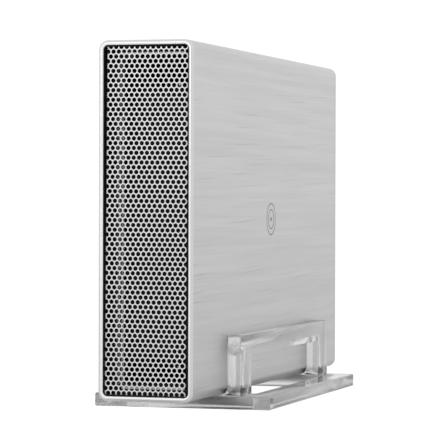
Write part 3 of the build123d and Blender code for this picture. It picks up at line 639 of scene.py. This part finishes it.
def grille_tree():
    fold = Folding("folded perforated sheet")
    inputs = fold.declare({
        "Columns": 18, "Rows": 77, "Pitch": PITCH, "Row pitch": ROW_PITCH, "Sheet": SHEET,
        "Bend radius": 0.5 * MM,
        "Half width": (GRILLE_HIGH.x - GRILLE_LOW.x) / 2,
        "Half height": (GRILLE_HIGH.z - GRILLE_LOW.z) / 2,
        "Pattern right": 0.06 * MM, "Pattern up": 0.21 * MM,
        "Turn": math.radians(0.37), "Right": -0.08 * MM, "Up": -0.03 * MM,
        "Front": GRILLE_LOW.y, "Middle": (GRILLE_HIGH.z + GRILLE_LOW.z) / 2,
        "Painted shade depth": 0.2 * MM,
    })
    tree = fold.tree
    grid = tree.node("GeometryNodeMeshGrid", None, {
        "Vertices X": inputs["Columns"], "Vertices Y": inputs["Rows"],
        "Size X": (inputs["Columns"] - 1) * inputs["Pitch"],
        "Size Y": (inputs["Rows"] - 1) * inputs["Row pitch"],
    })
    index = tree.node("GeometryNodeInputIndex")
    odd = index.math("MODULO", inputs["Rows"]).math("MODULO", 2.0)
    along, up = tree.parts(tree.node("GeometryNodeInputPosition"), "XY")
    right = along + inputs["Pattern right"] + (1 - odd) * inputs["Pitch"] / 2
    high = up + inputs["Pattern up"]
    placed = tree.node("GeometryNodeSetPosition", None, {
        "Geometry": grid,
        "Position": tree.node("ShaderNodeCombineXYZ", None, {"X": right, "Z": high}),
    })
    over_side = abs(right) > inputs["Half width"] - inputs["Bend radius"]
    over_top = abs(high) > inputs["Half height"] - inputs["Bend radius"]
    corners = tree.node(
        "GeometryNodeDeleteGeometry", {"domain": "POINT"},
        {"Geometry": placed, "Selection": over_side * over_top > 0.5},
    )
    cells = tree.node("GeometryNodeInstanceOnPoints", None, {
        "Points": corners, "Instance": tree.geometry_in(),
    })
    sheet = tree.node("GeometryNodeMergeByDistance", None, {
        "Geometry": tree.node("GeometryNodeRealizeInstances", None, {"Geometry": cells}),
        "Distance": 0.002 * MM,
    })
    x, depth, z = tree.parts(tree.node("GeometryNodeInputPosition"), "XYZ")
    side, side_back = folded(x, depth, inputs, "Half width")
    rise, rise_back = folded(z, depth, inputs, "Half height")
    bent = tree.node("GeometryNodeSetPosition", None, {
        "Geometry": sheet,
        "Position": tree.node("ShaderNodeCombineXYZ", None, {
            "X": side, "Y": side_back + rise_back - depth, "Z": rise,
        }),
    })
    seated = tree.node("GeometryNodeTransform", None, {
        "Geometry": bent,
        "Translation": tree.node("ShaderNodeCombineXYZ", None, {
            "X": inputs["Right"], "Y": inputs["Front"], "Z": inputs["Middle"] + inputs["Up"],
        }),
        "Rotation": tree.node("ShaderNodeCombineXYZ", None, {"Y": inputs["Turn"]}),
    })
    # The sheet's sides past this depth are coloured black: painted shade.
    back = tree.parts(tree.node("GeometryNodeInputPosition"), "Y")[0] - inputs["Front"]
    silver = fold.coat(seated, FINISHES["grille_metal"])
    fold.finish(fold.coat(silver, FINISHES["black_plastic"], back > inputs["Painted shade depth"]))
    return fold


grille_tree().apply(grille)
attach(grille, "enclosure")
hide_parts("front_grille", "grille_flanges")
print("grille faces:", len(grille.data.polygons))

# %% [markdown]
# ## Acrylic plates
#
# Acrylic parts are cut from flat sheet and their corners are broken by hand, which leaves a
# small soft bevel. The brackets' shape comes from the solids. Their triangles are merged back
# into flat faces, and a bevel rounds the sharp edges, because refraction in a rounded edge is
# what makes clear acrylic visible. The cut edges then get their own duller finish.

# %% Stand
STAND_BEVEL = 0.45 * MM
STAND_SEGMENTS = 3
SAME_PLANE = math.radians(0.5)
FACES_ALONG_SHEET = 0.5


def refined(node, width, segments=2):
    """A copy of a CAD node with its flat faces whole and its sharp edges rounded."""
    bm = merged_copy(node)
    bmesh.ops.dissolve_limit(
        bm, angle_limit=SAME_PLANE, verts=bm.verts, edges=bm.edges,
        use_dissolve_boundaries=False,
    )
    soften(bm, width, segments=segments)
    return new_piece(node + "_finished", mesh_from(bm, node), SLOT_OF[node], BODY_OF[node], node)


def finish_cut_edges(piece, across):
    """Give the faces that don't lie along the sheet the duller finish of a cut edge."""
    piece.data.materials.append(FINISHES["cut_acrylic"])
    for face in piece.data.polygons:
        if abs(face.normal.dot(across)) < FACES_ALONG_SHEET:
            face.material_index = 1


SHEET_NORMALS = {
    "stand_base_plate": Vector((0, 0, 1)),
    "stand_bracket_right": Vector((1, 0, 0)),
    "stand_bracket_left": Vector((1, 0, 0)),
}
for node, across in SHEET_NORMALS.items():
    made = refined(node, STAND_BEVEL, segments=STAND_SEGMENTS)
    finish_cut_edges(made, across)
    print(made.name, "faces:", len(made.data.polygons))

# %% [markdown]
# ## The printed mark
#
# A small thin mark is printed on the right side. Two plain rings with a dot in the middle
# stand in for it. It is a film of ink, so the rings are flat and lie a few hundredths of a
# millimetre above the aluminium.

# %% Printed mark
MARK_BACK = 103.5 * MM
MARK_UP = 65.0 * MM
MARK_RADIUS = 6.4 * MM
MARK_LINE = 0.42 * MM
MARK_FILM = 0.03 * MM
MARK_RINGS = ((MARK_RADIUS, 72), (0.62 * MARK_RADIUS, 60))
MARK_DOT = (0.14 * MARK_RADIUS, 24)


def ring_faces(bm, centre, outer, inner, steps):
    """A flat ring, or a disc where inner is 0, that faces +X."""
    loops = []
    for radius in (outer, inner) if inner else (outer,):
        loops.append([
            bm.verts.new(centre + Vector((
                0, radius * math.cos(math.tau * i / steps), radius * math.sin(math.tau * i / steps)
            )))
            for i in range(steps)
        ])
    if not inner:
        bm.faces.new(loops[0])
        return
    for i in range(steps):
        j = (i + 1) % steps
        bm.faces.new((loops[0][i], loops[0][j], loops[1][j], loops[1][i]))


def printed_mark():
    bm = bmesh.new()
    centre = Vector((
        sleeve_high.x + MARK_FILM, sleeve_low.y + MARK_BACK, sleeve_low.z + MARK_UP
    ))
    for radius, steps in MARK_RINGS:
        ring_faces(bm, centre, radius, radius - MARK_LINE, steps)
    dot_radius, dot_steps = MARK_DOT
    ring_faces(bm, centre, dot_radius, 0, dot_steps)
    bm.normal_update()
    for face in bm.faces:
        if face.normal.x < 0:
            face.normal_flip()
    return new_piece("side_mark", mesh_from(bm, "side mark"), "print_ink", "enclosure")


mark = printed_mark()
print("mark faces:", len(mark.data.polygons))

# %% [markdown]
# ## Finishes for the solids
#
# Every other piece keeps its solid, whose shape is already right, and takes its finish from
# the slot that the record gives it. What lies close behind the grille is coloured black as
# painted shade, so that nothing shines through the holes: the tab that holds the row of lights
# and the ends of the drive's rails, whose slot is set to black plastic here. The tray is
# therefore a copy with two finishes.

# %% Finish the rest
TAB_MARGIN = 0.3 * MM
TAB_DEPTH = 3.2 * MM
TRAY_SHEET = 1.0 * MM


def tray_with_painted_shade():
    """A copy of the tray whose tab behind the row of lights, up to the top plate, is black:
    painted shade.
    """
    low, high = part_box("light_board")
    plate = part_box("chassis_tray")[1].z - TRAY_SHEET
    bm = merged_copy("chassis_tray")
    bmesh.ops.bisect_plane(
        bm, geom=bm.verts[:] + bm.edges[:] + bm.faces[:], plane_co=(0, 0, plate),
        plane_no=(0, 0, 1),
    )
    for face in bm.faces:
        # Faces of the tab close behind the grille take the black finish, as painted shade.
        centre = face.calc_center_median()
        beside = low.x - TAB_MARGIN < centre.x < high.x + TAB_MARGIN
        near = centre.y < high.y + TAB_DEPTH
        if beside and near and low.z - TAB_DEPTH < centre.z < plate:
            face.material_index = 1
    soften(bm, 0)
    mesh = mesh_from(bm, "tray")
    mesh.materials.append(FINISHES["zinc_steel"])
    mesh.materials.append(FINISHES["black_board"])
    return new_piece("tray", mesh, "zinc_steel", BODY_OF["chassis_tray"], "chassis_tray")


tray_with_painted_shade()
# The drive's rails are made black plastic, as painted shade behind the grille.
SLOT_OF["drive_rails"] = "black_plastic"
for name, node in NODES.items():
    if node.hide_render:
        continue
    node.data.materials.clear()
    node.data.materials.append(FINISHES[SLOT_OF[name]])
print("finished solids:", sum(not n.hide_render for n in NODES.values()))

# %% [markdown]
# ## The studio
#
# A catalogue picture is lit in a grey tent, and its background is then cleared to white. The
# same thing is done here with the Light Path node: what the camera sees directly is white, and
# what the metal reflects and the acrylic refracts is the soft grey of the tent. One big soft
# light in front brightens the faces that point at the viewer. Light is followed through many
# bounces, because it runs along inside the acrylic.

# %% Floor, world and lights
TENT_GREY = 0.86
FLOOR_GREY = 0.80
CLEARED_WHITE = 1.05
FLOOR_SIZE = 6.0
LIGHT_BOUNCES = 20
AIM = (0, 0, 0.07)
FRONT_LIGHT_PLACE = (-0.5, -1.6, 0.7)
FRONT_LIGHT_SIZE = (1.0, 1.0)
FRONT_LIGHT_POWER = 8


def seen_directly(tree):
    """1 where the camera looks straight at something, 0 in reflections and refractions."""
    return tree.node("ShaderNodeLightPath", out="Is Camera Ray")


def studio_floor():
    bm = bmesh.new()
    bmesh.ops.create_grid(bm, x_segments=1, y_segments=1, size=FLOOR_SIZE)
    floor = bpy.data.objects.new("floor", mesh_from(bm, "floor"))
    bpy.context.scene.collection.objects.link(floor)
    material = bpy.data.materials.new("pale floor")
    material.use_nodes = True
    material.node_tree.nodes.clear()
    tree = Tree(material.node_tree)
    white = tree.node("ShaderNodeEmission", None, {"Color": grey(1.0), "Strength": CLEARED_WHITE})
    matt = tree.node("ShaderNodeBsdfDiffuse", None, {"Color": grey(FLOOR_GREY)})
    shown = tree.node("ShaderNodeMixShader", None, {0: seen_directly(tree), 1: matt, 2: white})
    tree.node("ShaderNodeOutputMaterial", None, {"Surface": shown})
    floor.data.materials.append(material)


def studio_world():
    world = bpy.data.worlds.new("studio")
    world.use_nodes = True
    world.node_tree.nodes.clear()
    tree = Tree(world.node_tree)
    shade = seen_directly(tree) * (CLEARED_WHITE - TENT_GREY) + TENT_GREY
    tent = tree.node("ShaderNodeBackground", None, {"Color": grey(1.0), "Strength": shade})
    tree.node("ShaderNodeOutputWorld", None, {"Surface": tent})
    bpy.context.scene.world = world


def soft_light(name, place, size, power, aim):
    data = bpy.data.lights.new(name, "AREA")
    data.shape = "RECTANGLE"
    data.size, data.size_y = size
    data.energy = power
    light = bpy.data.objects.new(name, data)
    bpy.context.scene.collection.objects.link(light)
    light.location = place
    light.rotation_euler = (Vector(place) - Vector(aim)).to_track_quat("Z", "Y").to_euler()
    return light


studio_floor()
studio_world()
bpy.context.scene.view_settings.view_transform = "Standard"
for kind in ("max_bounces", "glossy_bounces", "transmission_bounces"):
    setattr(bpy.context.scene.cycles, kind, LIGHT_BOUNCES)
soft_light("front light", FRONT_LIGHT_PLACE, FRONT_LIGHT_SIZE, FRONT_LIGHT_POWER, AIM)
